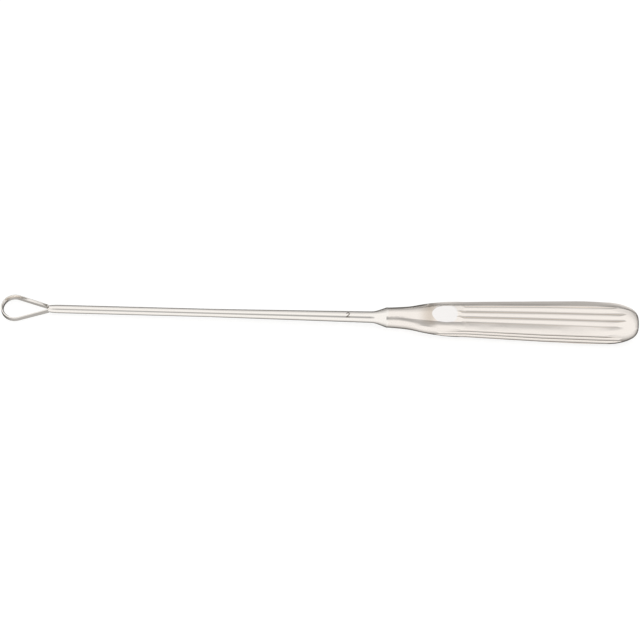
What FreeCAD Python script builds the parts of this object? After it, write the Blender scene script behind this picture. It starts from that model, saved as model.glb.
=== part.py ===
import FreeCAD
import Part
import math
import os
from collections import namedtuple

# Uterine curette: a sharp teardrop loop on a tapered shank, set in a fluted handle.
# It is drawn along +X from the tip of the loop to the butt, with the thumb rest up,
# and then laid down the way it comes to rest on its back. Sizes are in millimetres.

# Overall, and how far every cutting shape reaches past the metal it cuts
overall_length = 280.0
overrun = 1.0

# Loop: the flattened end of the bar, pierced, with its front edge ground sharp from inside
loop_width = 12.1
loop_depth = 2.8
rim_width = 1.0
crotch_from_tip = 20.8
crotch_hole_diameter = 1.8
waist_width = 3.0
waist_from_tip = 20.0
waist_depth = 3.2
loop_edge_radius = 0.35
bevel_width = 0.55
bevel_width_at_crotch = 0.25
bevel_depth = 1.0

# Shank: a round bar that thickens towards the handle and ends in a flared bolster
shank_diameter = 3.6
shank_nose_from_tip = 18.0
shank_nose_diameter = 1.6
shank_round_from_tip = 25.0
taper_from_tip = 92.0
shank_thick_diameter = 5.0
bolster_from_tip = 162.5
bolster_curve_radius = 9.0
bolster_angle = 20.0
shoulder_from_tip = 170.2
neck_diameter = 8.84

# Tang, brazed into the socket of the handle
tang_diameter = 4.0
tang_length = 16.0
braze_gap = 0.05
socket_bottom_gap = 0.5

# Sections of the handle. Each x is counted from the shoulder. The spans are the widths of
# the flat panels on the front and on the side, and the rest is the plain band between them.
# Roundness 1 is an ellipse and 0 is the panelled form.
Section = namedtuple("Section", "x width depth front_span side_span roundness")
neck_sections = [
    Section(0.0, neck_diameter, neck_diameter, 4.4, 4.8, 1.0),
    Section(6.0, 9.6, 9.44, 4.8, 5.0, 1.0),
    Section(11.0, 11.2, 9.4, 5.4, 5.2, 1.0),
    Section(17.0, 13.9, 9.6, 6.6, 5.8, 0.85),
    Section(23.0, 15.0, 9.9, 7.6, 6.5, 0.35),
]
waist_from_shoulder = 34.0
grip_middle_share = 0.56
grip_width = 17.6
grip_depth = 11.4
grip_front_span = 10.0
grip_side_span = 8.2
front_crown = 0.25
side_crown = 0.4
band_hollow = 0.1

# Ribs, pressed into the front, back and side panels. They start in points and deepen
ribs_in_panel = 3
front_rib_rise = 0.45
side_rib_rise = 0.38
front_groove_depth = 0.65
side_groove_depth = 0.65
groove_wall = 0.35
front_ribs_from_shoulder = 28.6
front_run_out = 0.67
side_ribs_from_shoulder = 19.5
side_run_out = 0.4

# Domed butt, and the degree of the curves that run lengthwise through all the sections
butt_length = 16.5
butt_fullness = 2.35
butt_steps = 5
butt_flat = 0.16
skin_degree = 2

# Thumb rest: an oval hollow, ground across the front with a wheel, where the front ribs begin
thumb_rest_from_shoulder = 24.1
thumb_rest_wheel_radius = 29.0
thumb_rest_height = 4.48

# Worked out from the sizes above
grip_length = overall_length - shoulder_from_tip
butt_from_shoulder = grip_length - butt_length
middle_from_shoulder = waist_from_shoulder + grip_middle_share * (butt_from_shoulder - waist_from_shoulder)
grip_at_waist = Section(waist_from_shoulder, 14.9, 10.2, 8.2, 7.05, 0.0)
grip_at_middle = Section(middle_from_shoulder, 17.0, 11.4, 9.32, 7.9, 0.0)
grip_at_butt = Section(butt_from_shoulder, grip_width, grip_depth, grip_front_span, grip_side_span, 0.0)
axis = FreeCAD.Vector(1, 0, 0)
origin = FreeCAD.Vector(0, 0, 0)


def point(x, y, z):
    return FreeCAD.Vector(x, y, z)


def line(a, b):
    return Part.LineSegment(a, b).toShape()


def arc(a, middle, b):
    return Part.Arc(a, middle, b).toShape()


def teardrop(bow_radius, bow_centre, end_radius, end_centre, z):
    """Outline of two circles and the two lines that touch both."""
    lean = math.asin((bow_radius - end_radius) / (end_centre - bow_centre))
    bow_x = bow_centre + bow_radius * math.sin(lean)
    bow_y = bow_radius * math.cos(lean)
    end_x = end_centre + end_radius * math.sin(lean)
    end_y = end_radius * math.cos(lean)
    bow_left = point(bow_x, bow_y, z)
    bow_right = point(bow_x, -bow_y, z)
    end_left = point(end_x, end_y, z)
    end_right = point(end_x, -end_y, z)
    edges = [
        arc(bow_left, point(bow_centre - bow_radius, 0, z), bow_right),
        line(bow_right, end_right),
        arc(end_right, point(end_centre + end_radius, 0, z), end_left),
        line(end_left, bow_left),
    ]
    return Part.Wire(edges)


def loop_blank():
    """The flattened end of the bar, cut to the outline of the loop, with its edges rounded."""
    bow_radius = loop_width / 2
    outline = teardrop(bow_radius, bow_radius, waist_width / 2, waist_from_tip, -waist_depth)
    plan = Part.Face(outline).extrude(point(0, 0, 2 * waist_depth))
    end = waist_from_tip + waist_width
    profile = [
        point(-overrun, -loop_width, loop_depth / 2),
        point(bow_radius, -loop_width, loop_depth / 2),
        point(waist_from_tip, -loop_width, waist_depth / 2),
        point(end, -loop_width, waist_depth / 2),
    ]
    profile += [point(p.x, p.y, -p.z) for p in reversed(profile)]
    side = Part.Face(Part.makePolygon(profile + profile[:1])).extrude(point(0, 2 * loop_width, 0))
    blank = plan.common(side)
    rims = [e for e in blank.Edges if abs(e.tangentAt(e.FirstParameter).z) < 0.5]
    rims = [e for e in rims if not is_crease(e)]
    return blank.makeFillet(loop_edge_radius, rims)


def is_crease(edge):
    """True for the edges straight across the blank, where its faces change slope."""
    return abs(edge.tangentAt(edge.FirstParameter).y) > 0.999 and edge.Curve.TypeId == "Part::GeomLine"


def loop_hole():
    """The pierced opening, with the bevel that leaves a sharp edge on the front."""
    bow_centre = loop_width / 2
    bow_radius = bow_centre - rim_width
    end_radius = crotch_hole_diameter / 2
    end_centre = crotch_from_tip - end_radius
    outline = teardrop(bow_radius, bow_centre, end_radius, end_centre, -waist_depth)
    hole = Part.Face(outline).extrude(point(0, 0, 2 * waist_depth))
    foot = loop_depth / 2 - bevel_depth
    growth = (waist_depth - foot) / bevel_depth
    narrow = teardrop(bow_radius, bow_centre, end_radius, end_centre, foot)
    wide = teardrop(
        bow_radius + bevel_width * growth,
        bow_centre,
        end_radius + bevel_width_at_crotch * growth,
        end_centre,
        waist_depth,
    )
    bevel = Part.makeLoft([narrow, wide], True, True)
    return hole.fuse(bevel)


def shank_bar():
    """The turned bar, from its nose inside the crotch of the loop to the end of the tang."""
    radius = shank_diameter / 2
    thick = shank_thick_diameter / 2
    nose_start = shank_nose_from_tip
    nose_radius = shank_nose_diameter / 2
    nose_length = shank_round_from_tip - nose_start
    nose_sweep = (nose_length**2 + (radius - nose_radius) ** 2) / (2 * (radius - nose_radius))
    half_nose = shank_round_from_tip - nose_length / 2
    half_nose_radius = radius - nose_sweep + math.sqrt(nose_sweep**2 - (nose_length / 2) ** 2)

    lean = math.radians(bolster_angle)
    curve_x = bolster_from_tip + bolster_curve_radius * math.sin(lean)
    curve_r = thick + bolster_curve_radius * (1 - math.cos(lean))
    half_x = bolster_from_tip + bolster_curve_radius * math.sin(lean / 2)
    half_r = thick + bolster_curve_radius * (1 - math.cos(lean / 2))
    brow_r = neck_diameter / 2
    brow_x = curve_x + (brow_r - curve_r) / math.tan(lean)
    tang_end = shoulder_from_tip + tang_length
    tang_radius = tang_diameter / 2
    outline = [
        line(point(nose_start, 0, 0), point(nose_start, 0, nose_radius)),
        arc(
            point(nose_start, 0, nose_radius),
            point(half_nose, 0, half_nose_radius),
            point(shank_round_from_tip, 0, radius),
        ),
        line(point(shank_round_from_tip, 0, radius), point(taper_from_tip, 0, radius)),
        line(point(taper_from_tip, 0, radius), point(bolster_from_tip, 0, thick)),
        arc(point(bolster_from_tip, 0, thick), point(half_x, 0, half_r), point(curve_x, 0, curve_r)),
        line(point(curve_x, 0, curve_r), point(brow_x, 0, brow_r)),
        line(point(brow_x, 0, brow_r), point(shoulder_from_tip, 0, brow_r)),
        line(point(shoulder_from_tip, 0, brow_r), point(shoulder_from_tip, 0, tang_radius)),
        line(point(shoulder_from_tip, 0, tang_radius), point(tang_end, 0, tang_radius)),
        line(point(tang_end, 0, tang_radius), point(tang_end, 0, 0)),
        line(point(tang_end, 0, 0), point(nose_start, 0, 0)),
    ]
    return Part.Face(Part.Wire(outline)).revolve(origin, axis, 360)


def shank_with_loop():
    whole = loop_blank().fuse(shank_bar()).cut(loop_hole()).removeSplitter()
    return whole.Solids[0]


def blend(round_value, flat_value, roundness):
    return round_value * roundness + flat_value * (1 - roundness)


def skin_wire(section):
    """Eight arcs: a panel on each face and a plain band across each corner."""
    wide = section.width / 2
    deep = section.depth / 2
    front = section.front_span / 2
    side = section.side_span / 2
    front_z = blend(deep * math.sqrt(1 - (front / wide) ** 2), deep - front_crown, section.roundness)
    side_y = blend(wide * math.sqrt(1 - (side / deep) ** 2), wide - side_crown, section.roundness)
    from_front = math.acos(front / wide)
    from_side = math.asin(side / deep)
    turn = (from_front + from_side) / 2
    out = point(0, front_z - side, side_y - front).normalize()
    band_y = blend(wide * math.cos(turn), (front + side_y) / 2 - out.y * band_hollow, section.roundness)
    band_z = blend(deep * math.sin(turn), (front_z + side) / 2 - out.z * band_hollow, section.roundness)

    def at(y, z):
        return point(shoulder_from_tip + section.x, y, z)

    edges = [
        arc(at(-front, front_z), at(0, deep), at(front, front_z)),
        arc(at(front, front_z), at(band_y, band_z), at(side_y, side)),
        arc(at(side_y, side), at(wide, 0), at(side_y, -side)),
        arc(at(side_y, -side), at(band_y, -band_z), at(front, -front_z)),
        arc(at(front, -front_z), at(0, -deep), at(-front, -front_z)),
        arc(at(-front, -front_z), at(-band_y, -band_z), at(-side_y, -side)),
        arc(at(-side_y, -side), at(-wide, 0), at(-side_y, side)),
        arc(at(-side_y, side), at(-band_y, band_z), at(-front, front_z)),
    ]
    return Part.Wire(edges)


def butt_sections():
    """Sections that shrink and grow round, so that the end of the handle is domed."""
    sections = []
    last_turn = math.pi / 2 - butt_flat
    for i in range(1, butt_steps + 1):
        turn = last_turn * i / butt_steps
        out = (math.sin(turn) / math.sin(last_turn)) ** (2 / butt_fullness)
        share = math.cos(turn) ** (2 / butt_fullness)
        sections.append(
            Section(
                grip_length - butt_length * (1 - out),
                grip_width * share,
                grip_depth * share,
                grip_front_span * share,
                grip_side_span * share,
                i / butt_steps,
            )
        )
    return sections


def skin():
    sections = neck_sections + [grip_at_waist, grip_at_middle, grip_at_butt] + butt_sections()
    return Part.makeLoft([skin_wire(s) for s in sections], True, False, False, skin_degree)


def panel_cutter_wire(x, groove_height, rise, span):
    """Underside of the press tool for one panel: hollows that leave the ribs standing."""
    high = groove_height + span

    def at(across, height):
        return point(shoulder_from_tip + x, across, height)

    edges = []
    for i in range(ribs_in_panel):
        a = span * (i / ribs_in_panel - 0.5)
        b = span * ((i + 1) / ribs_in_panel - 0.5)
        edges.append(arc(at(a, groove_height), at((a + b) / 2, groove_height + rise), at(b, groove_height)))
    half = span / 2
    edges += [
        line(at(half, groove_height), at(half + groove_wall, groove_height + groove_wall)),
        line(at(half + groove_wall, groove_height + groove_wall), at(half + groove_wall, high)),
        line(at(half + groove_wall, high), at(-half - groove_wall, high)),
        line(at(-half - groove_wall, high), at(-half - groove_wall, groove_height + groove_wall)),
        line(at(-half - groove_wall, groove_height + groove_wall), at(-half, groove_height)),
    ]
    return Part.Wire(edges)


def front_cutter():
    start = grip_at_waist.depth / 2 - front_groove_depth + front_run_out
    wires = [panel_cutter_wire(front_ribs_from_shoulder, start, front_rib_rise, grip_at_waist.front_span)]
    for s in grip_sections():
        wires.append(panel_cutter_wire(s.x, s.depth / 2 - front_groove_depth, front_rib_rise, s.front_span))
    return Part.makeLoft(wires, True, True)


def side_cutter():
    start = grip_at_waist.width / 2 - side_groove_depth + side_run_out
    wires = [panel_cutter_wire(side_ribs_from_shoulder, start, side_rib_rise, grip_at_waist.side_span)]
    for s in grip_sections():
        wires.append(panel_cutter_wire(s.x, s.width / 2 - side_groove_depth, side_rib_rise, s.side_span))
    cutter = Part.makeLoft(wires, True, True)
    cutter.rotate(origin, axis, 90)
    return cutter


def grip_sections():
    """The sections that the ribs follow, on to just past the butt."""
    past_butt = grip_at_butt._replace(x=grip_length + overrun)
    return [grip_at_waist, grip_at_middle, grip_at_butt, past_butt]


def thumb_rest_cut():
    """The grinding wheel that hollows the thumb rest, with its axle across the handle."""
    x = shoulder_from_tip + thumb_rest_from_shoulder
    axle = point(x, -grip_width, thumb_rest_height + thumb_rest_wheel_radius)
    return Part.makeCylinder(thumb_rest_wheel_radius, 2 * grip_width, axle, point(0, 1, 0))


def socket():
    radius = tang_diameter / 2 + braze_gap
    return Part.makeCylinder(radius, tang_length + socket_bottom_gap, point(shoulder_from_tip, 0, 0), axis)


def handle():
    body = skin()
    for cutter in (front_cutter(), side_cutter()):
        opposite = cutter.copy()
        opposite.rotate(origin, axis, 180)
        body = body.cut(cutter).cut(opposite)
    return body.cut(thumb_rest_cut()).cut(socket()).Solids[0]


def rest_tilt(shapes):
    """Lean of the axis on a table: the two lowest places of the handle that hold its weight.

    One lies on each side of the centre of mass, so the thin shank and its loop stay clear.
    """
    volume = sum(s.Volume for s in shapes)
    weight = sum(s.Volume * s.CenterOfMass.x for s in shapes) / volume - shoulder_from_tip
    feet = [(s.x, s.depth / 2) for s in neck_sections]
    rib_drop = front_groove_depth - front_rib_rise
    feet += [(s.x, s.depth / 2 - rib_drop) for s in (grip_at_waist, grip_at_middle, grip_at_butt)]
    pairs = [(a, b) for a in feet for b in feet if a[0] < weight < b[0]]

    def fall(pair):
        (ax, az), (bx, bz) = pair
        return (bz - az) / (bx - ax)

    lowest = max(pairs, key=lambda pair: pair[0][1] + fall(pair) * (weight - pair[0][0]))
    return math.degrees(math.atan(fall(lowest)))


def lay_down(shapes):
    """Tilt the pieces as one and set the middle of their underside on the origin."""
    tilt = rest_tilt(shapes)
    for shape in shapes:
        shape.rotate(origin, point(0, 1, 0), -tilt)
    box = Part.makeCompound(shapes).optimalBoundingBox(False, False)
    for shape in shapes:
        shape.translate(point(-box.Center.x, -box.Center.y, -box.ZMin))


def main():
    os.makedirs("parts", exist_ok=True)
    pieces = {"shank_with_loop": shank_with_loop(), "handle": handle()}
    lay_down(list(pieces.values()))
    for name, shape in pieces.items():
        box = shape.optimalBoundingBox(False, False)
        print(name, "solids", len(shape.Solids), "valid", shape.isValid(), "volume", round(shape.Volume, 1))
        print("  from", round(box.XMin, 2), round(box.YMin, 2), round(box.ZMin, 3))
        print("  to", round(box.XMax, 2), round(box.YMax, 2), round(box.ZMax, 3))
        shape.exportStep(f"parts/{name}.step")


main()
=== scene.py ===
# %% [markdown]
# # A uterine curette in Blender
#
# The curette is about 280 mm of stainless steel: a sharp teardrop loop, a long thin
# shank, and a fluted handle. Its solids are finished already, so this lesson is about
# light and metal. A polished tool has next to no colour of its own: nearly all that the
# eye sees on it is a picture of the room, bent by the ribs. So the room is built with the
# same care as the steel.
#
# Everything is in metres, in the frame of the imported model, with +Z up.

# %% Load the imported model
import math

import bpy
from mathutils import Matrix, Vector


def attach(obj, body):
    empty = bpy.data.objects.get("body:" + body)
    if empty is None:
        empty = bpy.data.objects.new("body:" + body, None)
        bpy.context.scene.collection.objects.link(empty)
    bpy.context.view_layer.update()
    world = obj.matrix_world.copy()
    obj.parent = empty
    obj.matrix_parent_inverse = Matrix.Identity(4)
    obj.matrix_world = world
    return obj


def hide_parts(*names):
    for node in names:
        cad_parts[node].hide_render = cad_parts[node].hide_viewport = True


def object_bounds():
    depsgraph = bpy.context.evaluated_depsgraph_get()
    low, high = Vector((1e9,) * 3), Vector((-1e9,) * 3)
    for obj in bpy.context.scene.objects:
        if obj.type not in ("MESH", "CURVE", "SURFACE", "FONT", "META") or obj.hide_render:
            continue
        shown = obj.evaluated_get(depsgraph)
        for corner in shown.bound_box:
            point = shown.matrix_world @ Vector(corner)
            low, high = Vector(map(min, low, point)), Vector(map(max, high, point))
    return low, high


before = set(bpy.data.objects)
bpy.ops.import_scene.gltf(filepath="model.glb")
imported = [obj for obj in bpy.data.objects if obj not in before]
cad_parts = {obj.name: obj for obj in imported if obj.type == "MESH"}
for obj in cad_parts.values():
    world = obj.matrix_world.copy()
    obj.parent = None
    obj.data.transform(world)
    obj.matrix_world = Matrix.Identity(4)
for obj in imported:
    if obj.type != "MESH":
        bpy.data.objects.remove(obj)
cad_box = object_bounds()
MM = 0.001
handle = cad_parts["handle"]
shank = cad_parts["shank_with_loop"]
print("model box in mm:", [round((b - a) / MM, 1) for a, b in zip(*cad_box)])

# %% [markdown]
# ## The camera
#
# The photograph looks at the curette from well above its side, with a long lens, so that
# nothing bulges. A lens has its true effect only together with its distance: the two are
# tied here by the width that the picture has to show. The last turn, about the line of
# sight, is the slight slope of the tool across the picture.

# %% Place the camera
PICTURE_SIDE_PX = 640
TIP_X_PX = 0.4
BUTT_X_PX = 638.5
AXIS_MIDDLE_Y_PX = 314.2
CAMERA_RISE_DEG = 60.0
CAMERA_DISTANCE = 1.6
PICTURE_SLOPE_DEG = 1.85

tool_length = cad_box[1].x - cad_box[0].x
metres_per_px = tool_length / (BUTT_X_PX - TIP_X_PX)
picture_width = metres_per_px * PICTURE_SIDE_PX

rise = math.radians(CAMERA_RISE_DEG)
towards_camera = Vector((0.0, -math.cos(rise), math.sin(rise)))
right = Vector((1.0, 0.0, 0.0))
up = towards_camera.cross(right)
tool_middle = (cad_box[0] + cad_box[1]) / 2
off_right = (PICTURE_SIDE_PX / 2 - (TIP_X_PX + BUTT_X_PX) / 2) * metres_per_px
off_up = (AXIS_MIDDLE_Y_PX - PICTURE_SIDE_PX / 2) * metres_per_px
target = tool_middle + right * off_right + up * off_up

lens_data = bpy.data.cameras.new("camera")
lens_data.lens = lens_data.sensor_width * CAMERA_DISTANCE / picture_width
camera = bpy.data.objects.new("camera", lens_data)
bpy.context.scene.collection.objects.link(camera)
bpy.context.scene.camera = camera
slope = Matrix.Rotation(math.radians(PICTURE_SLOPE_DEG), 3, towards_camera)
turn = Matrix((right, up, towards_camera)).transposed()
standpoint = Matrix.Translation(target + towards_camera * CAMERA_DISTANCE)
camera.matrix_world = standpoint @ (slope @ turn).to_4x4()
bpy.context.scene.view_settings.view_transform = "Standard"
print("lens in mm:", round(lens_data.lens, 1))

# %% [markdown]
# ## The room that the steel mirrors
#
# Product photographers put polished steel in a white tent and look in through a slit or a
# round hole. Every convex rib then shows two pale bands with one grey line between them:
# the bands are the tent and the line is the hole with the camera behind it. Far from the
# hole the cloth gets less light, so the outline of the steel ends in a thin dark line,
# which is what parts it from a white background.
#
# The tent is round about the hole, so one angle is enough to say how bright it is: the
# angle between a direction and the middle of the hole. The world shader works that angle
# out and looks its level up on a ramp. The camera looks in a little above the middle, which
# keeps the hole out of the plain band of the handle.

# %% Helpers for shader nodes and colours
def add_node(tree, kind, inputs=(), **settings):
    """Adds a node and sets its properties, then fills its inputs.

    The inputs are named in a dictionary, or listed in the order of the sockets. Each is
    a number, a colour, a socket, or a node, which stands for its own first result.
    """
    node = tree.nodes.new(kind)
    for name, value in settings.items():
        setattr(node, name, value)
    named = inputs if isinstance(inputs, dict) else dict(enumerate(inputs))
    for name, value in named.items():
        if isinstance(value, bpy.types.Node):
            value = value.outputs[0]
        if isinstance(value, bpy.types.NodeSocket):
            tree.links.new(value, node.inputs[name])
        else:
            node.inputs[name].default_value = value
    return node


def srgb(hex_colour):
    """A hex colour as the linear values that shaders work in."""
    parts = [int(hex_colour[i : i + 2], 16) / 255 for i in (1, 3, 5)]
    linear = [p / 12.92 if p <= 0.04045 else ((p + 0.055) / 1.055) ** 2.4 for p in parts]
    return (*linear, 1.0)


print("#808080 in linear values:", round(srgb("#808080")[0], 3))

# %% The tent
HOLE_BELOW_CAMERA_DEG = 8.0
HALF_TURN_DEG = 180.0
# Degrees from the middle of the hole, and how bright the cloth is there.
TENT_LEVELS = (
    (0.0, 0.34),
    (11.0, 0.52),
    (29.0, 1.0),
    (70.0, 1.0),
    (92.0, 0.8),
    (112.0, 0.5),
    (130.0, 0.22),
    (150.0, 0.12),
)

hole_rise = rise - math.radians(HOLE_BELOW_CAMERA_DEG)
towards_hole = Vector((0.0, -math.cos(hole_rise), math.sin(hole_rise)))
room = bpy.data.worlds.new("white_tent")
bpy.context.scene.world = room
room.use_nodes = True
tree = room.node_tree
direction = add_node(tree, "ShaderNodeTexCoord").outputs["Generated"]
cosine = add_node(
    tree,
    "ShaderNodeVectorMath",
    (direction, towards_hole),
    operation="DOT_PRODUCT",
).outputs["Value"]
angle = add_node(tree, "ShaderNodeMath", (cosine,), operation="ARCCOSINE")
share = add_node(tree, "ShaderNodeMath", (angle, math.pi), operation="DIVIDE")
tent = add_node(tree, "ShaderNodeValToRGB", (share,))
tent.color_ramp.interpolation = "EASE"
stops = tent.color_ramp.elements
while len(stops) < len(TENT_LEVELS):
    stops.new(1.0)
for stop, (degrees, level) in zip(stops, TENT_LEVELS):
    stop.position = degrees / HALF_TURN_DEG
    stop.color = (level, level, level, 1.0)
tree.links.new(tent.outputs["Color"], tree.nodes["Background"].inputs["Color"])
print("tent levels:", TENT_LEVELS)

# %% [markdown]
# ## The light table
#
# Small tools are photographed for a catalogue on a light table: a sheet of opal acrylic
# with lamps below, so that the background is white and only a faint shadow is left. The
# sheet here gives most of its white itself, to the eye of the camera and to what the steel
# and any glass show of it, and the tent gives the rest, which is the part that the shadow
# takes away. Close to the tool the sheet is clear to reflections, so that the steel mirrors
# the dim end of the tent there and keeps its dark outline.

# %% Lay the sheet
TABLE_SIDE = 6.0
TABLE_GAP = 0.05 * MM

half = TABLE_SIDE / 2
corner_signs = ((-1, -1), (1, -1), (1, 1), (-1, 1))
sheet_corners = [(sx * half, sy * half, -TABLE_GAP) for sx, sy in corner_signs]
table_mesh = bpy.data.meshes.new("light_table")
table_mesh.from_pydata(sheet_corners, [], [(0, 1, 2, 3)])
table = bpy.data.objects.new("light_table", table_mesh)
bpy.context.scene.collection.objects.link(table)
print("table:", TABLE_SIDE, "m wide,", round(TABLE_GAP / MM, 2), "mm under the tool")

# %% Light the sheet
TABLE_OWN_WHITE = 0.74
TABLE_COLOUR = "#a6a6a5"
TABLE_LAMP_COLOUR = "#ffffff"
CLEAR_HALF_WIDTH = 80 * MM
OPAL_HALF_WIDTH = 250 * MM
# With this, a Map Range node is a smooth step. Its inputs in order are the value, the two
# ends that it runs between and, where they aren't 0 and 1, the results at those ends.
SMOOTH = {"interpolation_type": "SMOOTHSTEP"}

opal = bpy.data.materials.new("opal_acrylic")
opal.use_nodes = True
tree = opal.node_tree
ray = add_node(tree, "ShaderNodeLightPath").outputs
seen = ray["Is Camera Ray"]
for kind in ("Is Glossy Ray", "Is Transmission Ray"):
    seen = add_node(tree, "ShaderNodeMath", (seen, ray[kind]), operation="MAXIMUM")
own_white = add_node(tree, "ShaderNodeMath", (seen, TABLE_OWN_WHITE), operation="MULTIPLY")
sheet = tree.nodes["Principled BSDF"]
sheet.inputs["Base Color"].default_value = srgb(TABLE_COLOUR)
sheet.inputs["Roughness"].default_value = 1.0
sheet.inputs["Specular IOR Level"].default_value = 0.0
sheet.inputs["Emission Color"].default_value = srgb(TABLE_LAMP_COLOUR)
tree.links.new(own_white.outputs[0], sheet.inputs["Emission Strength"])

place = add_node(tree, "ShaderNodeTexCoord").outputs["Object"]
axes = add_node(tree, "ShaderNodeSeparateXYZ", (place,)).outputs
from_tool = add_node(tree, "ShaderNodeMath", (axes["Y"],), operation="ABSOLUTE")
fade_ends = (from_tool, OPAL_HALF_WIDTH, CLEAR_HALF_WIDTH)
near_tool = add_node(tree, "ShaderNodeMapRange", fade_ends, **SMOOTH)
mirrored = (near_tool, ray["Is Glossy Ray"])
clear_share = add_node(tree, "ShaderNodeMath", mirrored, operation="MULTIPLY")
clear = add_node(tree, "ShaderNodeBsdfTransparent")
blend = add_node(tree, "ShaderNodeMixShader", (clear_share, sheet, clear))
tree.links.new(blend.outputs[0], tree.nodes["Material Output"].inputs["Surface"])
table_mesh.materials.append(opal)
print("clear to reflections within", CLEAR_HALF_WIDTH / MM, "mm of the tool")

# %% [markdown]
# ## A fuller dome on the handle
#
# The butt of the real handle is blunt: it stays wide almost to the end and then turns in
# quickly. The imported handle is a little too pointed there. Both domes are the same kind of
# curve, a circle with a fullness of more than 2, so each point only has to slide along the
# handle, to where the fuller curve has the width that the point has already. The ribs
# slide with it and run closer to the end, as the real ones do, and length and width stay.
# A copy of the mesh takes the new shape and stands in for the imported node.

# %% Slide the points of the dome
DOME_LENGTH = 16.5 * MM
PACKED_FULLNESS = 2.35
REAL_FULLNESS = 3.05
SLOPE_STEP = 0.01 * MM
# The slid points crowd together at the very end, so the slope is kept from reaching 0.
LEAST_SLOPE = 0.05
dome_start = cad_box[1].x - DOME_LENGTH


def other_side(value, fullness):
    """Height of a full curve at a share of its length, or the other way round."""
    return (1 - min(value, 1.0) ** fullness) ** (1 / fullness)


def fuller(x):
    """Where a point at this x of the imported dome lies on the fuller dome."""
    share = (x - dome_start) / DOME_LENGTH
    if share <= 0:
        return x
    width = other_side(share, PACKED_FULLNESS)
    return dome_start + DOME_LENGTH * other_side(width, REAL_FULLNESS)


def leaned(normal, x):
    """The direction of the surface once its points have slid."""
    slope = (fuller(x + SLOPE_STEP) - fuller(x - SLOPE_STEP)) / (2 * SLOPE_STEP)
    return Vector((normal.x / max(slope, LEAST_SLOPE), normal.y, normal.z)).normalized()


handle_mesh = handle.data.copy()
handle_mesh.name = "fluted_handle"
start_x = [v.co.x for v in handle_mesh.vertices]
directions = [leaned(loop.normal, start_x[loop.vertex_index]) for loop in handle_mesh.loops]
for vertex in handle_mesh.vertices:
    vertex.co.x = fuller(vertex.co.x)
handle_mesh.normals_split_custom_set(directions)
fluted_handle = bpy.data.objects.new("fluted_handle", handle_mesh)
fluted_handle.matrix_world = handle.matrix_world.copy()
bpy.context.scene.collection.objects.link(fluted_handle)
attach(fluted_handle, "root")
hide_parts("handle")
farthest = max(v.co.x - x for v, x in zip(handle_mesh.vertices, start_x))
print("points of the dome slid by up to", round(farthest / MM, 2), "mm")

# %% [markdown]
# ## The steel
#
# Surgical tools are martensitic stainless steel, forged, ground, and polished with ever
# finer paste on cloth wheels. The wheel runs along the tool, so what is left of the
# scratches lies lengthwise and is many millimetres long. It spreads a reflection across
# the tool a little more than along it. Real hairlines lie some hundredths of a millimetre
# apart, too fine to show here, so they are drawn a few tenths apart. Hands and cloths leave
# faint dull patches as well. Chromium steel is slightly warmer than silver. A metal takes
# its colour from the base colour, so the IOR stays as it is.

# %% A function for polished steel
STEEL_GRAZING = "#d9d2c9"
HAIRLINE_LENGTH = 30 * MM
HAIRLINE_DETAIL = 3.0
# A pair of levels: the values of the noise that give the first and the last roughness.
HAIRLINE_LEVELS = (0.3, 0.7)
HAIRLINE_ROUGHNESS = (-0.02, 0.02)
PATCH_SIZE = 9 * MM
PATCH_DETAIL = 2.0
PATCH_LEVELS = (0.35, 0.7)
PATCH_DULLNESS = 0.05


def polished_steel(name, colour, roughness, hairline_gap, hairline_depth):
    """Metal with hairlines along the tool and faint dull patches."""
    material = bpy.data.materials.new(name)
    material.use_nodes = True
    tree = material.node_tree
    shader = tree.nodes["Principled BSDF"]
    shader.inputs["Metallic"].default_value = 1.0
    shader.inputs["Base Color"].default_value = srgb(colour)
    shader.inputs["Specular Tint"].default_value = srgb(STEEL_GRAZING)
    place = add_node(tree, "ShaderNodeTexCoord").outputs["Object"]

    stretch = Vector((1 / HAIRLINE_LENGTH, 1 / hairline_gap, 1 / hairline_gap))
    stretched = add_node(tree, "ShaderNodeVectorMath", (place, stretch), operation="MULTIPLY")
    hairline_noise = {"Vector": stretched, "Scale": 1.0, "Detail": HAIRLINE_DETAIL}
    hairlines = add_node(tree, "ShaderNodeTexNoise", hairline_noise)
    patch_noise = {"Vector": place, "Scale": 1 / PATCH_SIZE, "Detail": PATCH_DETAIL}
    patches = add_node(tree, "ShaderNodeTexNoise", patch_noise)

    fine_ends = (hairlines, *HAIRLINE_LEVELS, *HAIRLINE_ROUGHNESS)
    fine = add_node(tree, "ShaderNodeMapRange", fine_ends, **SMOOTH)
    broad_ends = (patches, *PATCH_LEVELS, roughness, roughness + PATCH_DULLNESS)
    broad = add_node(tree, "ShaderNodeMapRange", broad_ends, **SMOOTH)
    total = add_node(tree, "ShaderNodeMath", (fine, broad), operation="ADD")
    tree.links.new(total.outputs[0], shader.inputs["Roughness"])
    relief = {"Height": hairlines, "Strength": 1.0, "Distance": hairline_depth}
    bump = add_node(tree, "ShaderNodeBump", relief)
    tree.links.new(bump.outputs[0], shader.inputs["Normal"])
    return material


print("hairlines:", HAIRLINE_LENGTH / MM, "mm long, dull patches:", PATCH_SIZE / MM, "mm")

# %% [markdown]
# ## A painted highlight and a painted shade on the handle
#
# The thumb rest is ground last, on the rim of a wheel. Its colour is a painted highlight, whiter
# and brighter than the steel round it. The corner just before it is a painted shade, coloured a
# little darker where the surface turns up towards the rim. To find the hollow, the shader asks of
# each point whether it lies on the round of that wheel: as far from the wheel's axle as its
# radius.

# %% Make the steels
SHANK_COLOUR = "#f8f3ed"
HANDLE_COLOUR = "#f5eee7"

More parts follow.
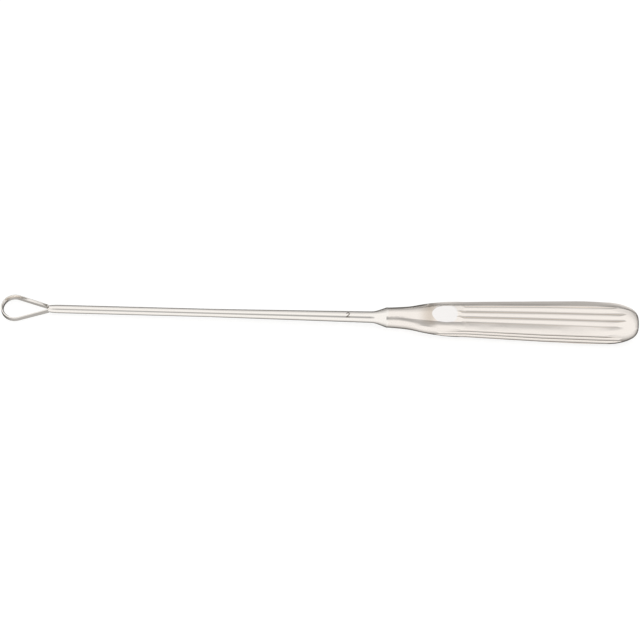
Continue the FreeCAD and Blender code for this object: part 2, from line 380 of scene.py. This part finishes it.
handle_steel = polished_steel(
    "satin_polished_stainless_steel",
    HANDLE_COLOUR,
    roughness=0.13,
    hairline_gap=0.3 * MM,
    hairline_depth=0.0015 * MM,
)
shank_steel = polished_steel(
    "bright_polished_stainless_steel",
    SHANK_COLOUR,
    roughness=0.1,
    hairline_gap=0.2 * MM,
    hairline_depth=0.0008 * MM,
)
for piece, steel in ((handle, handle_steel), (fluted_handle, handle_steel), (shank, shank_steel)):
    piece.data.materials.clear()
    piece.data.materials.append(steel)
print("materials:", handle_steel.name, shank_steel.name)

# %% Find the hollow and its corner
WHEEL_RADIUS = 29.0 * MM
WHEEL_MIDDLE_X = 54.0 * MM
HOLLOW_FLOOR_Z = 9.45 * MM
WHEEL_FIT = 0.05 * MM
WHEEL_MISFIT = 0.1 * MM
TOP_FADE = 2 * MM
CORNER_START = 42.0 * MM
CORNER_PEAK = 48.5 * MM
CORNER_END = 52.5 * MM
SIDE_PROFILE = Vector((1.0, 0.0, 1.0))
wheel_axle = Vector((WHEEL_MIDDLE_X, 0.0, HOLLOW_FLOOR_Z + WHEEL_RADIUS))

tree = handle_steel.node_tree
place = add_node(tree, "ShaderNodeTexCoord").outputs["Object"]
axes = add_node(tree, "ShaderNodeSeparateXYZ", (place,)).outputs
profile = add_node(tree, "ShaderNodeVectorMath", (place, SIDE_PROFILE), operation="MULTIPLY")
from_axle = add_node(
    tree,
    "ShaderNodeVectorMath",
    (profile, wheel_axle),
    operation="DISTANCE",
).outputs["Value"]
past_rim = add_node(tree, "ShaderNodeMath", (from_axle, WHEEL_RADIUS), operation="SUBTRACT")
misfit = add_node(tree, "ShaderNodeMath", (past_rim,), operation="ABSOLUTE")
# These masks say where the painted highlight on the hollow and the painted shade in its corner
# go.
hollow_highlight_mask, on_top, rises, falls = (
    add_node(tree, "ShaderNodeMapRange", ends, **SMOOTH)
    for ends in (
        (misfit, WHEEL_MISFIT, WHEEL_FIT),
        (axes["Z"], HOLLOW_FLOOR_Z - TOP_FADE, HOLLOW_FLOOR_Z),
        (axes["X"], CORNER_START, CORNER_PEAK),
        (axes["X"], CORNER_END, CORNER_PEAK),
    )
)
crosswise = add_node(tree, "ShaderNodeMath", (rises, falls), operation="MULTIPLY")
corner_shade_mask = add_node(tree, "ShaderNodeMath", (on_top, crosswise), operation="MULTIPLY")
print("wheel: radius", round(WHEEL_RADIUS / MM, 1), "mm, axle at", wheel_axle / MM)

# %% Paint a highlight on the hollow and shade in its corner
# The thumb rest's colour is a painted highlight, and the corner's colour is a painted shade.
THUMB_REST_PAINTED_HIGHLIGHT = "#f6f3f1"
CORNER_PAINTED_SHADE = "#dacfc3"
# A Mix node has a set of sockets for each kind of data. These are the ones for colours.
COLOUR_A = 6
COLOUR_B = 7
COLOUR_RESULT = 2

colour = srgb(HANDLE_COLOUR)
for share, other_colour in ((corner_shade_mask, CORNER_PAINTED_SHADE), (hollow_highlight_mask, THUMB_REST_PAINTED_HIGHLIGHT)):
    mix_inputs = {0: share, COLOUR_A: colour, COLOUR_B: srgb(other_colour)}
    mix = add_node(tree, "ShaderNodeMix", mix_inputs, data_type="RGBA")
    colour = mix.outputs[COLOUR_RESULT]
tree.links.new(colour, tree.nodes["Principled BSDF"].inputs["Base Color"])
print("thumb rest:", THUMB_REST_PAINTED_HIGHLIGHT, "corner before it:", CORNER_PAINTED_SHADE)

# %% [markdown]
# ## The size numeral
#
# Curettes come in sets, and each carries its size as a small numeral on the shank, burnt
# dark by a laser. The mark has next to no depth, so here it is a thin ribbon that follows
# the strokes of the numeral and is wrapped on the round bar. The bar is a cone, so its
# middle and radius under the mark are worked out from the rings of points at both ends.
# The laser leaves a thin, dull oxide that stays dark from every side. Its grain is some
# hundredths of a millimetre, and is drawn coarser, so that it shows from close by.

# %% Measure the bar under the mark
TAPER_START_X = -48.0 * MM
TAPER_END_X = 22.5 * MM
NUMERAL_X = 12.5 * MM
RING_REACH = 0.1 * MM


def ring(x):
    """Middle height and radius of the shank at one ring of its points."""
    heights = [v.co.z for v in shank.data.vertices if abs(v.co.x - x) < RING_REACH]
    return (max(heights) + min(heights)) / 2, (max(heights) - min(heights)) / 2


share_of_taper = (NUMERAL_X - TAPER_START_X) / (TAPER_END_X - TAPER_START_X)
thin_ring = ring(TAPER_START_X)
thick_ring = ring(TAPER_END_X)
bar_z, bar_radius = (a + (b - a) * share_of_taper for a, b in zip(thin_ring, thick_ring))
print("bar under the numeral: middle", round(bar_z / MM, 2), "radius", round(bar_radius / MM, 2))

# %% Wrap the numeral on the bar
NUMERAL_HEIGHT = 2.0 * MM
STROKE_WIDTH = 0.36 * MM
STROKE_STEPS = 4
MARK_LIFT = 0.02 * MM
MARK_TURN_DEG = 100.0
# The places where the pen turns, in heights of the numeral from its middle.
TWO = (
    (-0.3, 0.3),
    (-0.17, 0.46),
    (0.08, 0.5),
    (0.28, 0.36),
    (0.27, 0.14),
    (0.02, -0.16),
    (-0.33, -0.5),
    (0.34, -0.5),
)


def on_bar(along, up_the_page):
    """Carries a place on the flat drawing of the numeral on to the round of the bar."""
    angle = math.radians(MARK_TURN_DEG) - up_the_page / bar_radius
    r = bar_radius + MARK_LIFT
    return (NUMERAL_X + along, r * math.cos(angle), bar_z + r * math.sin(angle))


corners, faces = [], []
strokes = [Vector(p) * NUMERAL_HEIGHT for p in TWO]
for start, end in zip(strokes, strokes[1:]):
    run = (end - start).normalized() * STROKE_WIDTH / 2
    side = Vector((-run.y, run.x))
    first = len(corners)
    for i in range(STROKE_STEPS + 1):
        middle = (start - run).lerp(end + run, i / STROKE_STEPS)
        corners += [on_bar(*(middle + side)), on_bar(*(middle - side))]
    for i in range(first, first + 2 * STROKE_STEPS, 2):
        faces.append((i, i + 1, i + 3, i + 2))

numeral_mesh = bpy.data.meshes.new("size_numeral")
numeral_mesh.from_pydata(corners, [], faces)
numeral = bpy.data.objects.new("size_numeral", numeral_mesh)
bpy.context.scene.collection.objects.link(numeral)
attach(numeral, "root")
print("numeral:", len(faces), "faces")

# %% Burn the numeral dark
LASER_BROWN = "#6e655b"
SCORCH_GRAIN = 0.15 * MM
SCORCH_LEVELS = (0.35, 0.65)
SCORCH_ROUGHNESS = (0.38, 0.52)

burnt = bpy.data.materials.new("laser_darkened_steel")
burnt.use_nodes = True
tree = burnt.node_tree
burnt_shader = tree.nodes["Principled BSDF"]
burnt_shader.inputs["Metallic"].default_value = 1.0
burnt_shader.inputs["Base Color"].default_value = srgb(LASER_BROWN)
place = add_node(tree, "ShaderNodeTexCoord").outputs["Object"]
scorch = add_node(tree, "ShaderNodeTexNoise", {"Vector": place, "Scale": 1 / SCORCH_GRAIN})
scorch_ends = (scorch, *SCORCH_LEVELS, *SCORCH_ROUGHNESS)
scorched = add_node(tree, "ShaderNodeMapRange", scorch_ends, **SMOOTH)
tree.links.new(scorched.outputs[0], burnt_shader.inputs["Roughness"])
numeral_mesh.materials.append(burnt)
print("numeral's material:", burnt.name)
